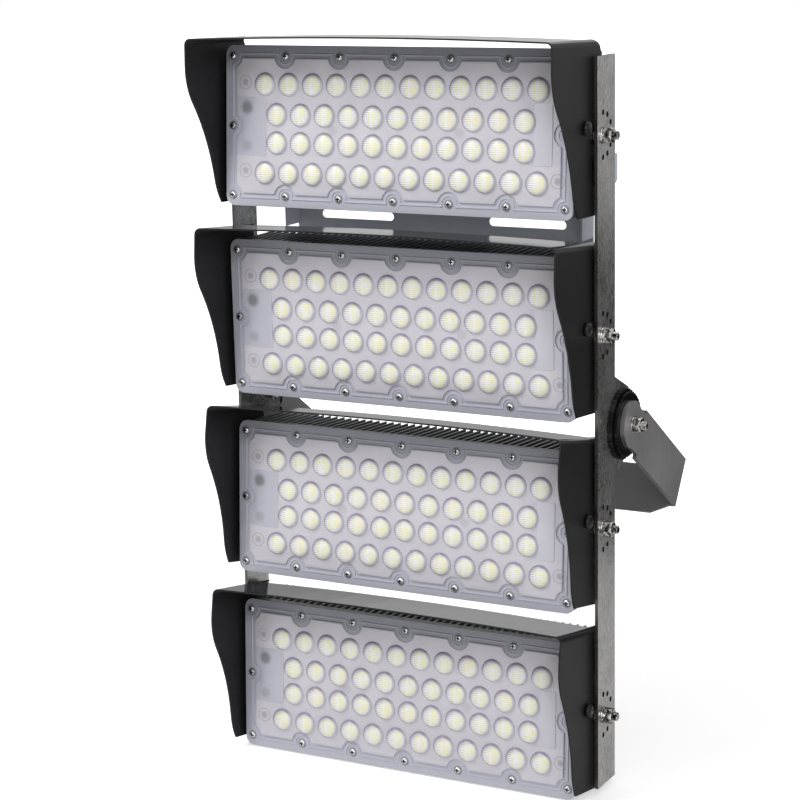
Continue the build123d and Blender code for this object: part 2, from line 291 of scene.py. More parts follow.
def frosted_cover(cover):
    """Frosted polycarbonate, with the board and its connector showing faintly through it."""
    colour = cover.colour
    cool = (colour[0] * 0.79, colour[1] * 0.82, colour[2] * 0.88, 1.0)
    made, graph, shader = finish("Frosted cover", roughness=0.32, coat=0.2)
    point = graph.stored("cover_point", "Vector")
    across, _, up = graph.parts(point)
    far = graph.absolute(across)
    high = graph.absolute(up)
    cloud = graph.noise(point, 22.0, detail=3.0)
    tone = graph.mixed(cloud, shade(colour, 0.94), shade(colour, 1.05))

    # The rim outside the field, with the scallops round the screws, has a cooler tone, and a painted shadow
    # of the hood darkens it along the top
    columns, rows = screw_places(cover)
    folded = graph.math("PINGPONG", across, (columns[1] - columns[0]) / 2)
    from_screw = graph.math("MINIMUM", graph.length(folded, graph.minus(high, rows)),
                            graph.length(graph.minus(far, columns[-1]), up))
    rim_x = cover.width / 2 - cover.rim_width
    rim_z = cover.height / 2 - cover.rim_width
    soft = 0.001
    rim = graph.larger(graph.fade(far, rim_x - soft, rim_x + soft),
                       graph.fade(high, rim_z - soft, rim_z + soft))
    rim = graph.larger(rim, graph.fade(from_screw, cover.scallop - 0.0008, cover.scallop + 0.0004, 1.0, 0.0))
    tone = graph.mixed(graph.times(rim, 0.85), tone, cool)
    # Painted shadow of the hood along the top of the rim
    painted_hood_shadow = graph.times(rim, graph.fade(up, 0.045, 0.062, 0.0, 0.6))
    tone = graph.mixed(painted_hood_shadow, tone, shade(cool, 0.4))

    # The windows over the connectors, the left one clearer
    end = graph.fade(far, 0.131, 0.134)
    window = graph.times(end, graph.fade(high, cover.pad_rise - soft, cover.pad_rise + soft, 1.0, 0.0))
    tone = graph.mixed(graph.times(window, graph.fade(across, -0.02, 0.02, 0.75, 0.30)), tone, cool)

    for middle, radius, depth, ring in COVER_MARKS:
        reach = graph.length(graph.minus(across, middle[0]), graph.minus(up, middle[1]))
        spot = graph.times(graph.fade(reach, radius * 0.35, radius, 1.0, 0.0), depth)
        if ring:
            from_ring = graph.absolute(graph.minus(reach, ring))
            spot = graph.larger(spot, graph.fade(from_ring, 0.0002, 0.001, depth * 0.7, 0.0))
        tone = graph.mixed(spot, tone, shade(colour, 0.33))
    # Painted shade in a ring round each screw head
    seat = graph.fade(from_screw, 0.0036, 0.0052, 0.65, 0.0)
    graph.fill(shader, {
        "Base Color": graph.mixed(seat, tone, shade(colour, 0.2)),
        "Normal": graph.bumped(graph.noise(point, 1500.0, detail=2.0), 0.05, 0.0001),
        "Subsurface Weight": 0.15,
        "Subsurface Radius": (0.004, 0.004, 0.004)})
    return made


def lens_finish(white, phosphor, rim):
    """A moulded lens over a yellow chip, in radii of the lens: ribs on its left, yellow on its right."""
    made, graph, shader = finish("Lens", roughness=0.35, coat=0.1)
    across, _, up = graph.parts(graph.stored("lens_point", "Vector"))
    reach = graph.length(across, up)

    # Each copy lies in its own slice of the pattern, so the lenses show different blocks
    spot = graph.combined(across, graph.times(graph.stored("copy_number"), 3.7), up)
    blocks = graph.add("ShaderNodeTexVoronoi", {"Vector": spot, "Scale": 4.4, "Randomness": 0.7},
                       distance="CHEBYCHEV")
    patch = graph.parts(blocks.outputs["Color"])[0]
    chip = graph.times(graph.fade(across, -0.5, -0.2), graph.fade(reach, 0.78, 0.88, 1.0, 0.0))
    gap = graph.fade(graph.absolute(graph.minus(across, 0.06)), 0.04, 0.1)
    chip = graph.times(graph.times(chip, gap), graph.fade(patch, 0.1, 0.6))
    tone = graph.mixed(graph.times(chip, 0.9), shade(white), shade(phosphor))

    ribs = graph.fade(graph.math("SINE", graph.times(up, 36.0)), 0.1, 0.95)
    ribs = graph.times(ribs, graph.fade(across, -0.4, 0.1, 1.0, 0.25))
    tone = graph.mixed(graph.times(ribs, 0.62), tone, shade(rim, 1.4))

    # The upper left is in shadow, at the rim and as a crescent inside it
    shadow = graph.minus(up, across)
    edge = graph.times(graph.fade(reach, 0.76, 0.93), graph.fade(shadow, -1.0, 0.9, 0.3, 0.95))
    tone = graph.mixed(edge, tone, shade(rim))
    crescent = graph.times(graph.fade(reach, 0.35, 0.92), graph.fade(shadow, -0.1, 1.1, 0.0, 0.8))
    graph.fill(shader, {
        "Base Color": graph.mixed(crescent, tone, shade(rim, 1.2)),
        "Normal": graph.bumped(ribs, 0.3, 0.0003)})
    return made


def bright_steel(name, colour, roughness):
    """Stainless fasteners with random dark and bright patches painted on as reflections."""
    made, graph, shader = finish(name, metallic=1.0)
    # Painted reflections: the noise sets dark and bright patches of the base colour, and varies the roughness
    painted_reflection_noise = graph.noise(graph.object_point(), 240.0, detail=4.0, roughness=0.6)
    tone = graph.fade(painted_reflection_noise, 0.40, 0.58)
    graph.fill(shader, {
        "Base Color": graph.mixed(tone, shade(colour, 0.22), shade(colour, 1.35)),
        "Roughness": graph.fade(painted_reflection_noise, 0.3, 0.7, roughness - 0.04, roughness + 0.08)})
    return made


def screw_steel(colour):
    """Bright screw heads with the shade of a cross recess painted on them, in radii of the head."""
    made, graph, shader = finish("Cover screw", metallic=1.0, roughness=0.34)
    across, _, up = graph.parts(graph.stored("screw_point", "Vector"))
    # Painted shade: a dark cross stands for the shade inside the recess, which has no shape of its own
    arm = graph.math("MINIMUM", graph.absolute(across), graph.absolute(up))
    longest = graph.larger(graph.absolute(across), graph.absolute(up))
    painted_recess_shade = graph.times(graph.fade(arm, 0.17, 0.27, 1.0, 0.0), graph.fade(longest, 0.6, 0.72, 1.0, 0.0))
    graph.fill(shader, {"Base Color": graph.mixed(painted_recess_shade, shade(colour), shade(colour, 0.03))})
    return made


def anodised(name, colour, roughness=0.4):
    """Aluminium extrusion with faint lines along its fins."""
    made, graph, shader = finish(name, metallic=0.6)
    lines = graph.noise(graph.stretched(graph.object_point(), (8.0, 1.0, 0.15)), 160.0, detail=3.0)
    graph.fill(shader, {
        "Base Color": graph.mixed(lines, shade(colour, 0.8), shade(colour, 1.2)),
        "Roughness": graph.fade(lines, 0.3, 0.7, roughness - 0.05, roughness + 0.1),
        "Normal": graph.bumped(lines, 0.15, 0.0002)})
    return made


def added(name, data):
    """A new object in the scene."""
    made = bpy.data.objects.new(name, data)
    bpy.context.scene.collection.objects.link(made)
    return made


def piece(name, mesh, body, replaced=()):
    """Adds a finished mesh as a piece of the head, riding on its body."""
    made = added(name, mesh)
    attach(made, body)
    if replaced:
        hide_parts(*replaced)


def mesh_of(bm, name):
    """The plain mesh of a bmesh, which is then freed."""
    made = bpy.data.meshes.new(name)
    bm.to_mesh(made)
    bm.free()
    return made


def smoothed(mesh, angle=35.0):
    """Smooth shading that keeps edges over the angle sharp."""
    mesh.polygons.foreach_set("use_smooth", [True] * len(mesh.polygons))
    mesh.set_sharp_from_angle(angle=math.radians(angle))
    mesh.update()
    return mesh


def remember(mesh, name, scale=1.0):
    """Stores each point's place, for a material to read."""
    store = mesh.attributes.new(name, "FLOAT_VECTOR", "POINT")
    values = []
    for vertex in mesh.vertices:
        values.extend(vertex.co * scale)
    store.data.foreach_set("vector", values)


def placed(mesh, place):
    """A copy of the mesh, moved to its place."""
    copy = mesh.copy()
    copy.transform(place)
    return copy


def joined(meshes):
    """One mesh from several, which stay closed shells."""
    bm = bmesh.new()
    for mesh in meshes:
        bm.from_mesh(mesh)
    made = mesh_of(bm, meshes[0].name)
    for material in meshes[0].materials:
        made.materials.append(material)
    return made


def both_sides(mesh, place):
    """A right-hand piece of hardware and its left-hand twin, turned half round."""
    return joined([placed(mesh, place), placed(mesh, place @ HALF_TURN)])


def lathe(name, profile, steps):
    """A closed turned shape round +X from (along, radius) points whose first and last radius are 0."""
    bm = bmesh.new()
    rings = []
    for along, radius in profile:
        if radius == 0:
            rings.append([bm.verts.new((along, 0, 0))])
            continue
        ring = []
        for step in range(steps):
            angle = 2 * math.pi * step / steps
            ring.append(bm.verts.new((along, radius * math.cos(angle), radius * math.sin(angle))))
        rings.append(ring)
    for first, second in zip(rings, rings[1:]):
        for step in range(steps):
            after = (step + 1) % steps
            if len(first) == 1:
                bm.faces.new((first[0], second[step], second[after]))
            elif len(second) == 1:
                bm.faces.new((first[step], second[0], first[after]))
            else:
                bm.faces.new((first[step], second[step], second[after], first[after]))
    bmesh.ops.recalc_face_normals(bm, faces=bm.faces)
    return mesh_of(bm, name)


def prism(bm, outline, front, back, hole=None):
    """A plate in the XZ plane between two depths; a hole has as many points as the outline."""
    sheets = []
    for depth in (front, back):
        rim = [bm.verts.new((x, depth, z)) for x, z in outline]
        bore = [bm.verts.new((x, depth, z)) for x, z in hole] if hole else None
        sheets.append((rim, bore))
    (rim_a, bore_a), (rim_b, bore_b) = sheets
    faces = []
    for number in range(len(outline)):
        after = (number + 1) % len(outline)
        faces.append(bm.faces.new((rim_a[number], rim_a[after], rim_b[after], rim_b[number])))
        if hole:
            faces.append(bm.faces.new((bore_a[after], bore_a[number], bore_b[number], bore_b[after])))
            faces.append(bm.faces.new((rim_a[after], rim_a[number], bore_a[number], bore_a[after])))
            faces.append(bm.faces.new((rim_b[number], rim_b[after], bore_b[after], bore_b[number])))
    if not hole:
        faces.append(bm.faces.new(list(reversed(rim_a))))
        faces.append(bm.faces.new(rim_b))
    bmesh.ops.recalc_face_normals(bm, faces=faces)


def arc(centre, radius, start, turn, steps):
    """Points of an arc, its angles in degrees."""
    points = []
    for step in range(steps + 1):
        angle = math.radians(start + turn * step / steps)
        points.append((centre[0] + radius * math.cos(angle), centre[1] + radius * math.sin(angle)))
    return points


def rounded(half_x, half_z, radius, steps=6, middle=(0.0, 0.0)):
    """The outline of a rectangle with rounded corners."""
    points = []
    for side_x, side_z, start in ((1, 1, 0), (-1, 1, 90), (-1, -1, 180), (1, -1, 270)):
        centre = (middle[0] + side_x * (half_x - radius), middle[1] + side_z * (half_z - radius))
        points += arc(centre, radius, start, 90, steps)
    return points


def evaluated(holder, name):
    """The plain mesh of an object with its modifiers, which is then removed."""
    graph = bpy.context.evaluated_depsgraph_get()
    made = bpy.data.meshes.new_from_object(holder.evaluated_get(graph), preserve_all_data_layers=True,
                                           depsgraph=graph)
    made.name = name
    bpy.data.objects.remove(holder)
    return made


def bevelled(name, mesh, width):
    """The mesh with its sharp edges rounded."""
    holder = added(name, mesh)
    bevel = holder.modifiers.new("Bevel", "BEVEL")
    bevel.width = width
    bevel.segments = 2
    bevel.limit_method = "ANGLE"
    bevel.angle_limit = math.radians(40)
    bevel.use_clamp_overlap = True
    return evaluated(holder, name)


def run_tree(name, seed, tree, values):
    """The mesh that a geometry tree makes of a seed mesh, its inputs set by their identifiers."""
    holder = added(name, seed)
    modifier = holder.modifiers.new("Rows", "NODES")
    modifier.node_group = tree
    for item in tree.interface.items_tree:
        if item.in_out == "INPUT" and item.name in values:
            modifier[item.identifier] = values[item.name]
    return evaluated(holder, name)


def rows_tree(name):
    """A tree that sets copies of its seed in rows: each row has a count, and heights above and below."""
    tree = bpy.data.node_groups.new(name, "GeometryNodeTree")
    tree.interface.new_socket("Geometry", in_out="OUTPUT", socket_type="NodeSocketGeometry")
    for label, kind in (("Geometry", "Geometry"), ("Outer count", "Int"), ("Inner count", "Int"),
                        ("Outer pitch", "Float"), ("Inner pitch", "Float"), ("Outer rise", "Float"),
                        ("Inner rise", "Float"), ("Drop", "Float"), ("Depth", "Float"),
                        ("Finish", "Material")):
        tree.interface.new_socket(label, in_out="INPUT", socket_type=f"NodeSocket{kind}")
    graph = Graph(tree)
    given = graph.add("NodeGroupInput").outputs
    rows = graph.add("GeometryNodeJoinGeometry")
    for which in ("Outer", "Inner"):
        count = given[f"{which} count"]
        pitch = given[f"{which} pitch"]
        half = graph.times(graph.minus(count, 1.0), 0.5)
        start = graph.times(graph.times(half, pitch), -1.0)
        for side in (1.0, -1.0):
            height = graph.minus(graph.times(given[f"{which} rise"], side), given["Drop"])
            line = graph.add("GeometryNodeMeshLine", {
                "Count": count,
                "Start Location": graph.combined(start, given["Depth"], height),
                "Offset": graph.combined(pitch)}, mode="OFFSET")
            graph.fill(rows, {0: line.outputs[0]})
    copies = graph.add("GeometryNodeInstanceOnPoints", {
        "Points": rows.outputs[0], "Instance": given["Geometry"]})
    numbered = graph.add("GeometryNodeStoreNamedAttribute", {
        "Geometry": copies.outputs[0], "Name": "copy_number",
        "Value": graph.add("GeometryNodeInputIndex").outputs[0]}, data_type="FLOAT", domain="INSTANCE")
    real = graph.add("GeometryNodeRealizeInstances", {0: numbered.outputs[0]})
    painted = graph.add("GeometryNodeSetMaterial", {"Geometry": real.outputs[0], "Material": given["Finish"]})
    graph.add("NodeGroupOutput", {0: painted.outputs[0]})
    return tree


class CoverSettings(PropertyGroup):
    width: FloatProperty(name="Width", description="Width of the lens cover", default=0.352, unit="LENGTH")
    height: FloatProperty(name="Height", description="Height of the lens cover", default=0.148, unit="LENGTH")
    corner: FloatProperty(name="Corner", description="Radius of its corners", default=0.009, unit="LENGTH")
    face: FloatProperty(name="Face depth", description="From the pivot forward to its face", default=0.0355,
                        unit="LENGTH")
    thickness: FloatProperty(name="Thickness", description="Thickness of its plate", default=0.003,
                             unit="LENGTH")
    field_rise: FloatProperty(name="Field rise", description="Height of the field inside the screws",
                              default=0.0015, unit="LENGTH")
    field_inset: FloatProperty(name="Field inset", description="From the edge to the field", default=0.0117,
                               unit="LENGTH")
    rim_width: FloatProperty(name="Rim width", description="Width of the darker rim outside the field",
                             default=0.0125, unit="LENGTH")
    scallop: FloatProperty(name="Scallop", description="Radius of the field's cut round each screw",
                           default=0.0113, unit="LENGTH")
    ridge_gap: FloatProperty(name="Ridge gap", description="From the field out to the ridge", default=0.003,
                             unit="LENGTH")
    ridge_width: FloatProperty(name="Ridge width", description="Width of the ridge", default=0.0015,
                               unit="LENGTH")
    pad_rise: FloatProperty(name="Pad", description="Half the height of the raised pad at each end",
                            default=0.027, unit="LENGTH")
    colour: FloatVectorProperty(name="Cover colour", description="Colour of the frosted cover",
                                subtype="COLOR", default=(0.622, 0.603, 0.652))


class LensSettings(PropertyGroup):
    radius: FloatProperty(name="Radius", description="Radius of one lens", default=0.0109, unit="LENGTH")
    rise: FloatProperty(name="Rise", description="Height of a lens over the field", default=0.0046,
                        unit="LENGTH")
    pitch: FloatProperty(name="Pitch", description="Distance between lenses in a row", default=0.025,
                         unit="LENGTH")
    outer_rise: FloatProperty(name="Outer rows", description="From the grid's middle to its outer rows",
                              default=0.0405, unit="LENGTH")
    inner_rise: FloatProperty(name="Inner rows", description="From the grid's middle to its inner rows",
                              default=0.0129, unit="LENGTH")
    drop: FloatProperty(name="Drop", description="How far the grid sits below the cover's middle",
                        default=0.002, unit="LENGTH")
    shift: FloatProperty(name="Shift", description="How far the rows sit to the right of the cover's middle",
                         default=0.0045, unit="LENGTH")
    outer_count: IntProperty(name="Outer count", description="Lenses in the top and bottom rows", default=12)
    inner_count: IntProperty(name="Inner count", description="Lenses in the middle rows", default=11)
    white: FloatVectorProperty(name="Lens colour", description="Colour inside a lens", subtype="COLOR",
                               default=(0.87, 0.86, 0.90))
    phosphor: FloatVectorProperty(name="Phosphor", description="Colour of the chip", subtype="COLOR",
                                  default=(0.89, 0.87, 0.53))
    rim: FloatVectorProperty(name="Rim", description="Colour of a lens's rim", subtype="COLOR",
                             default=(0.25, 0.22, 0.30))


class MetalSettings(PropertyGroup):
    bar: FloatVectorProperty(name="Bars", description="Colour of the side bars", subtype="COLOR",
                             default=(0.53, 0.52, 0.515))
    yoke: FloatVectorProperty(name="Yoke", description="Colour of the yoke", subtype="COLOR",
                              default=(0.41, 0.405, 0.41))
    plate: FloatVectorProperty(name="Cross plate", description="Colour of the cross plate", subtype="COLOR",
                               default=(0.67, 0.71, 0.79))
    hood: FloatVectorProperty(name="Hoods", description="Colour of the hoods", subtype="COLOR",
                              default=(0.011, 0.0105, 0.0115))
    disc: FloatVectorProperty(name="Discs", description="Colour of the index discs", subtype="COLOR",
                              default=(0.004, 0.004, 0.0045))
    sink: FloatVectorProperty(name="Heat sinks", description="Colour of the heat sinks", subtype="COLOR",
                              default=(0.17, 0.172, 0.18))
    steel: FloatVectorProperty(name="Fasteners", description="Colour of nuts and bolts", subtype="COLOR",
                               default=(0.60, 0.59, 0.57))


class HardwareSettings(PropertyGroup):
    nut_flats: FloatProperty(name="Nut", description="Across the flats of the nuts and heads", default=0.013,
                             unit="LENGTH")
    bolt_radius: FloatProperty(name="Bolt radius", description="Radius of the bolts", default=0.004,
                               unit="LENGTH")
    knob_radius: FloatProperty(name="Knob radius", description="Radius of the hoods' knobs", default=0.0065,
                               unit="LENGTH")
    screw_radius: FloatProperty(name="Screw radius", description="Radius of the covers' screw heads",
                                default=0.0031, unit="LENGTH")


class StageSettings(PropertyGroup):
    floor: FloatVectorProperty(name="Floor", description="Colour of the floor", subtype="COLOR",
                               default=(0.86, 0.86, 0.86))
    key: FloatProperty(name="Key light", description="Power of the key light", default=27.0, unit="POWER")
    fill: FloatProperty(name="Fill light", description="Power of the fill light", default=22.0, unit="POWER")
    top: FloatProperty(name="Top light", description="Power of the top light", default=14.0, unit="POWER")
    room: FloatProperty(name="Room", description="Strength of the room's own light", default=0.36)
    shine: FloatProperty(name="Shine", description="Strength of the room in reflections", default=0.64)


class HeadSettings(PropertyGroup):
    cover: PointerProperty(type=CoverSettings)
    lens: PointerProperty(type=LensSettings)
    metal: PointerProperty(type=MetalSettings)
    hardware: PointerProperty(type=HardwareSettings)
    stage: PointerProperty(type=StageSettings)


def level_sheet(name, segments, half_size):
    """A level square sheet."""
    bm = bmesh.new()
    bmesh.ops.create_grid(bm, x_segments=segments, y_segments=segments, size=half_size)
    return mesh_of(bm, name)


class HEAD_OT_stage(Operator):
    """Add the room, the floor, the dark card, the lights and the camera"""
    bl_idname = "floodlight.stage"
    bl_label = "Stage"

    def world(self, scene, settings):
        """A room that the camera sees as white, and that is brighter in reflections than as light."""
        world = bpy.data.worlds.new("Studio")
        scene.world = world
        world.use_nodes = True
        graph = Graph(world.node_tree)
        world.node_tree.nodes.clear()
        path = graph.add("ShaderNodeLightPath").outputs
        light = graph.larger(graph.times(path["Is Glossy Ray"], settings.shine), settings.room)
        back = graph.add("ShaderNodeBackground", {
            "Color": WHITE, "Strength": graph.larger(path["Is Camera Ray"], light)})
        graph.add("ShaderNodeOutputWorld", {"Surface": back.outputs[0]})

    def floor(self, settings, lowest):
        """A floor that keeps the head's shadow and fades to white away from it."""
        mesh = level_sheet("studio_floor", 2, 12.0)
        mesh.transform(Matrix.Translation((0.0, 0.0, lowest - 0.0005)))
        floor = added("studio_floor", mesh)
        made, graph, shader = finish("Studio floor", roughness=0.9)
        point = graph.object_point()
        across, along, _ = graph.parts(point)
        glow = graph.fade(graph.length(across, along), 0.5, 1.3, 0.5, 1.2)
        seen = graph.add("ShaderNodeLightPath").outputs["Is Camera Ray"]
        cloud = graph.noise(point, 2.0, detail=2.0)
        graph.fill(shader, {
            "Base Color": graph.mixed(cloud, shade(settings.floor, 0.995), shade(settings.floor, 1.005)),
            "Emission Color": WHITE,
            "Emission Strength": graph.times(seen, glow)})
        mesh.materials.append(made)
        floor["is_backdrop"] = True

    def dark_card(self, lowest):
        """A dark card behind the head on its right, seen only as a reflection in its metal."""
        width, height, turn = 1.3, 0.42, -23
        mesh = level_sheet("studio_card", 1, 0.5)
        mesh.transform(Matrix.Diagonal((width, height, 1.0, 1.0)))
        mesh.transform(Matrix.Rotation(math.radians(90), 4, "X"))
        mesh.transform(Matrix.Rotation(math.radians(turn), 4, "Z"))
        mesh.transform(Matrix.Translation((0.49, 0.56, lowest + height / 2)))
        card = added("studio_card", mesh)
        made, graph, shader = finish("Dark card", roughness=0.9)
        weave = graph.noise(graph.object_point(), 40.0, detail=2.0)
        graph.fill(shader, {"Base Color": graph.mixed(weave, shade(WHITE, 0.01), shade(WHITE, 0.02))})
        mesh.materials.append(made)
        card.visible_camera = False
        card.visible_diffuse = False
        card.visible_shadow = False
        card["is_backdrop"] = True

    def execute(self, context):
        settings = context.scene.floodlight.stage
        scene = context.scene
        scene.view_settings.view_transform = "Standard"
        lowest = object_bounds()[0][2]
        self.world(scene, settings)
        self.floor(settings, lowest)
        self.dark_card(lowest)
        target = Vector((0.0, -0.15, 0.09))
        for name, place, size, power in (("Key light", (-0.85, -1.35, 1.55), 1.0, settings.key),
                                         ("Fill light", (1.9, -2.4, 1.0), 1.4, settings.fill),
                                         ("Top light", (0.2, 0.4, 2.4), 1.8, settings.top)):
            lamp = bpy.data.lights.new(name, "AREA")
            lamp.size = size
            lamp.energy = power
            holder = added(name, lamp)
            holder.location = place
            holder.rotation_euler = (target - Vector(place)).to_track_quat("-Z", "Y").to_euler()
        camera = bpy.data.cameras.new("Camera")
        camera.lens = CAMERA_LENS
        camera.sensor_width = 36.0
        view = added("Camera", camera)
        view.location = CAMERA_PLACE
        view.rotation_euler = [math.radians(angle) for angle in CAMERA_TURN]
        scene.camera = view
        return {"FINISHED"}


class HEAD_OT_metalwork(Operator):
    """Give the bars, yoke, discs, plate and heat sinks their finishes"""
    bl_idname = "floodlight.metalwork"
    bl_label = "Metalwork"

    def execute(self, context):
        metal = context.scene.floodlight.metal
        finishes = {
            "side_bar": bar_steel(metal.bar),
            "yoke_bracket": yoke_paint(metal.yoke),
            "cross_plate": coated("Cross plate paint", metal.plate, roughness=0.4, grit=0.05),
            "frame_disc": coated("Disc coating", metal.disc, roughness=0.16, grit=0.1, level=0.2),
            "yoke_disc": coated("Arm disc coating", metal.disc, roughness=0.22, grit=0.1, level=0.2),
            "heat_sink": anodised("Heat sink", metal.sink),
            "end_plates": anodised("End plate", shade(metal.sink, 0.6), roughness=0.5),
            "led_board": coated("Board mask", (0.7, 0.7, 0.69), roughness=0.4),
        }
        for name, node in frame["nodes"].items():
            for ending, made in finishes.items():
                if ending in name:
                    node.data.materials.clear()
                    node.data.materials.append(made)
        return {"FINISHED"}


class HEAD_OT_hoods(Operator):
    """Dress the bent hoods, satin at the sides and glossy on top"""
    bl_idname = "floodlight.hoods"
    bl_label = "Hoods"

    def execute(self, context):
        made = hood_coating(context.scene.floodlight.metal.hood)
        for number in MODULES:
            place = place_of(number, HOOD_LEANS)
            mesh = placed(frame["nodes"][f"hood_{number}"].data, place.inverted())
            bm = bmesh.new()
            bm.from_mesh(mesh)
            bmesh.ops.remove_doubles(bm, verts=bm.verts, dist=0.000002)
            bm.to_mesh(mesh)
            bm.free()
            mesh.materials.clear()
            mesh.materials.append(made)
            smoothed(mesh, 30.0)
            store = mesh.attributes.new("hood_top", "FLOAT", "FACE")
            store.data.foreach_set("value", [float(face.normal.z > 0.7) for face in mesh.polygons])
            holder = added("hood_sheet", mesh)
            weighted = holder.modifiers.new("Flat faces first", "WEIGHTED_NORMAL")
            weighted.keep_sharp = True
            mesh = evaluated(holder, "hood_sheet")
            mesh.transform(place)
            piece(f"hood_sheet_{number}", mesh, f"hood_{number}", [f"hood_{number}"])
        return {"FINISHED"}


def screw_places(cover):
    """The cover's screws, as places across and the height of their rows."""
    from_side = 0.0076
    from_top = 0.010
    half_x = cover.width / 2 - from_side
    half_z = cover.height / 2 - from_top
    columns = [half_x * step / 3 for step in range(-3, 4)]
    return columns, half_z


def scalloped(cover, inset, radius):
    """The outline of the field, cut round each screw, anticlockwise from the right-hand side."""
    columns, rows = screw_places(cover)
    edge_x = cover.width / 2 - inset
    edge_z = cover.height / 2 - inset
    reach_z = math.sqrt(radius ** 2 - (edge_z - rows) ** 2)
    reach_x = math.sqrt(radius ** 2 - (edge_x - columns[-1]) ** 2)
    points = []

    def bite(centre, start, finish_at):
        """An arc round a screw, from one edge point to the next, on the field's side."""
        first = math.degrees(math.atan2(start[1] - centre[1], start[0] - centre[0]))
        last = math.degrees(math.atan2(finish_at[1] - centre[1], finish_at[0] - centre[0]))
        turn = (last - first) % 360 - 360
        points.extend(arc(centre, radius, first, turn, 9))

    side = columns[-1]
    bite((side, 0.0), (edge_x, -reach_x), (edge_x, reach_x))
    bite((side, rows), (edge_x, rows - reach_x), (side - reach_z, edge_z))
    for column in reversed(columns[1:-1]):
        bite((column, rows), (column + reach_z, edge_z), (column - reach_z, edge_z))
    bite((-side, rows), (-side + reach_z, edge_z), (-edge_x, rows - reach_x))
    bite((-side, 0.0), (-edge_x, reach_x), (-edge_x, -reach_x))
    bite((-side, -rows), (-edge_x, -rows + reach_x), (-side + reach_z, -edge_z))
    for column in columns[1:-1]:
        bite((column, -rows), (column - reach_z, -edge_z), (column + reach_z, -edge_z))
    bite((side, -rows), (side - reach_z, -edge_z), (edge_x, -rows + reach_x))
    return points


class HEAD_OT_covers(Operator):
    """Build the frosted covers with their scalloped fields and raised ends"""
    bl_idname = "floodlight.covers"
    bl_label = "Covers"

    def execute(self, context):
        cover = context.scene.floodlight.cover
        face = -cover.face
        raised = face - cover.field_rise
        sunk = 0.0005
        bm = bmesh.new()
        prism(bm, rounded(cover.width / 2, cover.height / 2, cover.corner), face, face + cover.thickness)
        prism(bm, scalloped(cover, cover.field_inset, cover.scallop), raised, face + sunk)
        near = cover.ridge_gap
        far = cover.ridge_gap + cover.ridge_width
        prism(bm, scalloped(cover, cover.field_inset - far, cover.scallop - far), face - 0.0008, face + sunk,
              hole=scalloped(cover, cover.field_inset - near, cover.scallop - near))
        columns, _ = screw_places(cover)
        for side, pad_start in ((-1, 0.132), (1, 0.1385)):
            outer = side * (columns[-1] - cover.scallop - 0.001)
            inner = side * pad_start
            middle = ((outer + inner) / 2, -0.0005)
            outline = rounded(abs(outer - inner) / 2, cover.pad_rise, 0.0015, 3, middle)
            prism(bm, outline, raised - 0.0006, raised + sunk)
        mesh = smoothed(bevelled("cover_plate", mesh_of(bm, "cover_plate"), 0.0004))
        remember(mesh, "cover_point")
        mesh.materials.append(frosted_cover(cover))
        for number in MODULES:
            piece(f"cover_plate_{number}", placed(mesh, place_of(number, MODULE_LEANS)), f"module_{number}",
                  [f"module_{number}_lens_cover"])
        return {"FINISHED"}


class HEAD_OT_lenses(Operator):
    """Set the rows of domed lenses on each cover"""
    bl_idname = "floodlight.lenses"
    bl_label = "Lenses"

    def execute(self, context):
        cover = context.scene.floodlight.cover
        lens = context.scene.floodlight.lens
        foot = 0.0008
        profile = [(foot, 0.0), (foot, lens.radius), (0.0, lens.radius)]
        for angle in (25, 48, 70):
            turn = math.radians(angle)
            profile.append((-lens.rise * math.sin(turn), lens.radius * math.cos(turn) ** 0.75))
        profile.append((-lens.rise, 0.0))
        seed = smoothed(lathe("lens", profile, 20), 50.0)
        seed.transform(X_TO_Y)
        remember(seed, "lens_point", 1 / lens.radius)
        mesh = run_tree("lenses", seed, rows_tree("Lens rows"), {
            "Outer count": lens.outer_count, "Inner count": lens.inner_count, "Outer pitch": lens.pitch,
            "Inner pitch": lens.pitch, "Outer rise": lens.outer_rise, "Inner rise": lens.inner_rise,
            "Drop": lens.drop, "Depth": -(cover.face + cover.field_rise),
            "Finish": lens_finish(lens.white, lens.phosphor, lens.rim)})
        mesh.transform(Matrix.Translation((lens.shift, 0.0, 0.0)))
        for number in MODULES:
            piece(f"lenses_{number}", placed(mesh, place_of(number, MODULE_LEANS)), f"module_{number}")
        return {"FINISHED"}


class HEAD_OT_cover_screws(Operator):
    """Set the screws round the edge of each cover"""
    bl_idname = "floodlight.cover_screws"
    bl_label = "Cover screws"

    def execute(self, context):
        cover = context.scene.floodlight.cover
        radius = context.scene.floodlight.hardware.screw_radius
        profile = [(0.0006, 0.0), (0.0006, radius), (-0.0007, radius), (-0.0015, radius - 0.0004),
                   (-0.0020, radius - 0.0015), (-0.0021, 0.0)]
        seed = smoothed(lathe("cover_screw", profile, 12), 50.0)
        seed.transform(X_TO_Y)
        remember(seed, "screw_point", 1 / radius)
        columns, rows = screw_places(cover)
        mesh = run_tree("cover_screws", seed, rows_tree("Screw rows"), {
            "Outer count": len(columns), "Inner count": 2, "Outer pitch": columns[1] - columns[0],
            "Inner pitch": 2 * columns[-1], "Outer rise": rows, "Inner rise": 0.0, "Drop": 0.0,
            "Depth": -cover.face, "Finish": screw_steel((0.86, 0.86, 0.87))})
        for number in MODULES:
            piece(f"cover_screws_{number}", placed(mesh, place_of(number, MODULE_LEANS)), f"module_{number}")
        return {"FINISHED"}


def hexagon(name, flats, start, end):
    """A hexagonal nut or head along +X, its corners eased."""
    bm = bmesh.new()
    prism(bm, arc((0.0, 0.0), flats / math.sqrt(3), 0, 300, 5), -end, -start)
    mesh = mesh_of(bm, name)
    mesh.transform(X_TO_Y)
    return bevelled(name, mesh, 0.0006)


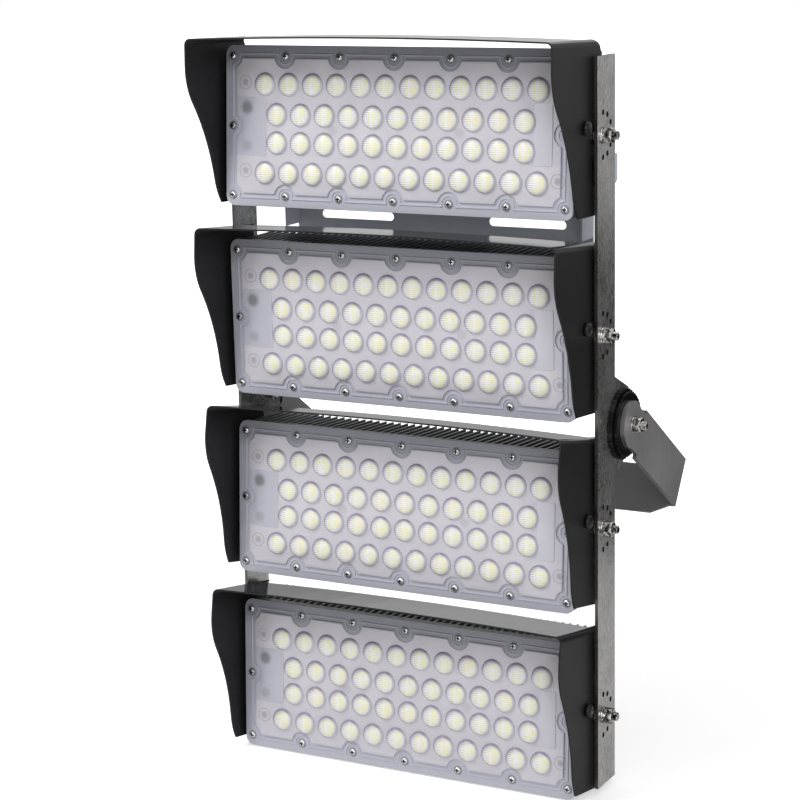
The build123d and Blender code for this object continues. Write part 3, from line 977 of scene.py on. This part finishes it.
def threaded(start, thread_start, end, radius):
    """The profile of a shaft whose free end is threaded."""
    ridges = 5
    root = radius * 0.84
    profile = [(start, 0.0), (start, radius), (thread_start, radius)]
    pitch = (end - 0.0006 - thread_start) / ridges
    for ridge in range(ridges):
        profile.append((thread_start + pitch * (ridge + 0.25), root))
        profile.append((thread_start + pitch * (ridge + 0.75), radius))
    return profile + [(end - 0.0004, root), (end, radius * 0.7), (end, 0.0)]


def washer(seat, end, radius, ease):
    """The profile of a washer between two faces, its rim eased."""
    start = seat + 0.0001
    return [(start, 0.0), (start, radius - 0.0002), (seat + ease, radius), (end - 0.0003, radius),
            (end, radius - 0.0002), (end, 0.0)]


class HEAD_OT_pivot_hardware(Operator):
    """Add washers, nuts and threaded ends to the module pivots"""
    bl_idname = "floodlight.pivot_hardware"
    bl_label = "Pivot hardware"

    def execute(self, context):
        hardware = context.scene.floodlight.hardware
        low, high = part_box("side_bar_right")
        inner, seat = low.x, high.x
        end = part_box("module_1_pivot_bolts")[1].x
        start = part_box("module_1_end_plates")[1].x
        nut_start = seat + 0.0014
        nut_end = seat + 0.0100
        spacer = [(inner - 0.0026, 0.0), (inner - 0.0026, 0.009), (inner - 0.0004, 0.009),
                  (inner - 0.0004, 0.0)]
        shapes = [lathe("shaft", threaded(start, nut_end, end, hardware.bolt_radius), 20),
                  lathe("washer", washer(seat, nut_start, 0.0076, 0.0003), 24),
                  lathe("spacer", spacer, 20),
                  hexagon("nut", hardware.nut_flats, nut_start, nut_end)]
        mesh = smoothed(joined(shapes))
        mesh.materials.append(bright_steel("Pivot steel", context.scene.floodlight.metal.steel, 0.12))
        for number in MODULES:
            piece(f"pivot_hardware_{number}", both_sides(mesh, place_of(number, MODULE_LEANS)),
                  f"module_{number}", [f"module_{number}_pivot_bolts"])
        return {"FINISHED"}


class HEAD_OT_knobs(Operator):
    """Turn the round knobs on the hoods' side plates"""
    bl_idname = "floodlight.knobs"
    bl_label = "Knobs"

    def execute(self, context):
        radius = context.scene.floodlight.hardware.knob_radius
        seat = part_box("hood_1")[1].x
        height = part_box("hood_1_knobs")[1].x - seat
        profile = [(seat - 0.0008, 0.0), (seat - 0.0008, radius * 0.86), (seat + 0.0004, radius * 0.92),
                   (seat + 0.0012, radius), (seat + height * 0.55, radius),
                   (seat + height * 0.8, radius * 0.9), (seat + height * 0.95, radius * 0.66),
                   (seat + height, radius * 0.4), (seat + height, 0.0)]
        mesh = smoothed(lathe("knob", profile, 28), 60.0)
        mesh.materials.append(coated("Knob", (0.006, 0.006, 0.007), roughness=0.3, grit=0.02, level=0.35))
        from_pivot = Matrix.Translation((0.0, -0.0265, 0.0070))
        for number in MODULES:
            piece(f"hood_knobs_{number}", both_sides(mesh, place_of(number, HOOD_LEANS) @ from_pivot),
                  f"hood_{number}", [f"hood_{number}_knobs"])
        return {"FINISHED"}


class HEAD_OT_yoke_bolts(Operator):
    """Add the yoke's two bolts with their washers"""
    bl_idname = "floodlight.yoke_bolts"
    bl_label = "Yoke bolts"

    def execute(self, context):
        hardware = context.scene.floodlight.hardware
        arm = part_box("yoke_bracket")[1].x
        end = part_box("yoke_bolts")[1].x
        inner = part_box("side_bar_right")[0].x - 0.0003
        axis = Vector(JOINTS["frame_tilt"]["pos_m"])
        nut_height = 0.0068
        seat = arm + 0.0016
        nut_end = seat + nut_height
        shapes = [lathe("shaft", threaded(inner, nut_end, end, hardware.bolt_radius), 20),
                  lathe("washer", washer(arm, seat, 0.008, 0.0004), 28),
                  hexagon("nut", hardware.nut_flats, seat, nut_end),
                  hexagon("head", hardware.nut_flats, inner - nut_height, inner)]
        mesh = smoothed(joined(shapes))
        mesh.materials.append(bright_steel("Yoke bolt steel", context.scene.floodlight.metal.steel, 0.14))
        piece("yoke_hardware", both_sides(mesh, Matrix.Translation(axis)), "yoke",
              ["yoke_bolts"])
        return {"FINISHED"}


OPERATORS = (HEAD_OT_stage, HEAD_OT_metalwork, HEAD_OT_hoods, HEAD_OT_covers, HEAD_OT_lenses,
             HEAD_OT_cover_screws, HEAD_OT_pivot_hardware, HEAD_OT_knobs, HEAD_OT_yoke_bolts)


class HEAD_PT_panel(Panel):
    bl_idname = "HEAD_PT_panel"
    bl_label = "LED floodlight head"
    bl_space_type = "VIEW_3D"
    bl_region_type = "UI"
    bl_category = "Floodlight"

    def draw(self, context):
        settings = context.scene.floodlight
        for group in (settings.cover, settings.lens, settings.metal, settings.hardware, settings.stage):
            box = self.layout.box()
            for name in group.bl_rna.properties.keys():
                if name not in {"rna_type", "name"}:
                    box.prop(group, name)
        for operator in OPERATORS:
            self.layout.operator(operator.bl_idname)


CLASSES = (CoverSettings, LensSettings, MetalSettings, HardwareSettings, StageSettings, HeadSettings,
           *OPERATORS, HEAD_PT_panel)


def register():
    for item in CLASSES:
        bpy.utils.register_class(item)
    bpy.types.Scene.floodlight = PointerProperty(type=HeadSettings)


def unregister():
    del bpy.types.Scene.floodlight
    for item in reversed(CLASSES):
        bpy.utils.unregister_class(item)


def main():
    register()
    for operator in OPERATORS:
        getattr(bpy.ops.floodlight, operator.bl_idname.split(".")[1])()


if __name__ == "__main__":
    main()
